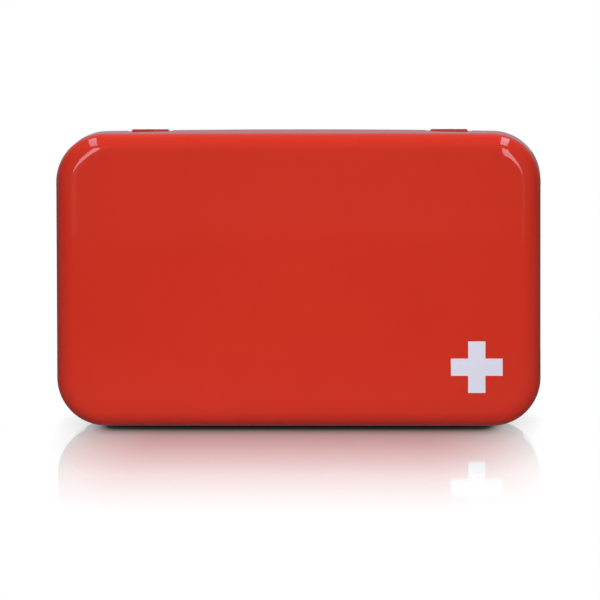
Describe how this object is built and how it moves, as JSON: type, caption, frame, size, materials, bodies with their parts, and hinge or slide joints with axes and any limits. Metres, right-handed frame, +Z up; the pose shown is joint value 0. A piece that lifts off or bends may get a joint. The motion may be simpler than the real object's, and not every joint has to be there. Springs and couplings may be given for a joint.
{
  "type": "first aid box",
  "caption": "Glossy red pressed-steel first aid box with rounded corners, a white cross on the lid and a lid hinged along its top edge by rolled leaves and wire pins.",
  "frame": {"origin": "middle of the closed box's footprint, on the surface that it stands on", "axes": "+Z up; the lid's face looks towards -Y and the base's back towards +Y; X runs along the width, parallel to the hinge axis"},
  "size_m": [0.2, 0.048, 0.1218],
  "materials": {
    "red_lacquer": "gloss",
    "hinge_lacquer": "gloss",
    "steel_wire": "drawn wire",
    "white_print": "gloss"
  },
  "bodies": {
    "base": {"base_shell": "red_lacquer", "base_hinge_leaf_left": "hinge_lacquer", "base_hinge_leaf_right": "hinge_lacquer", "hinge_pin_left": "steel_wire", "hinge_pin_right": "steel_wire"},
    "lid": {"lid_shell": "red_lacquer", "lid_hinge_leaf_left": "hinge_lacquer", "lid_hinge_leaf_right": "hinge_lacquer"}
  },
  "joints": [
    {"name": "lid_hinge", "type": "hinge", "parent": "base", "child": "lid", "pos_m": [0, 0.0047, 0.12077], "axis": [-1, 0, 0], "range_deg": [0, 155]}
  ]
}
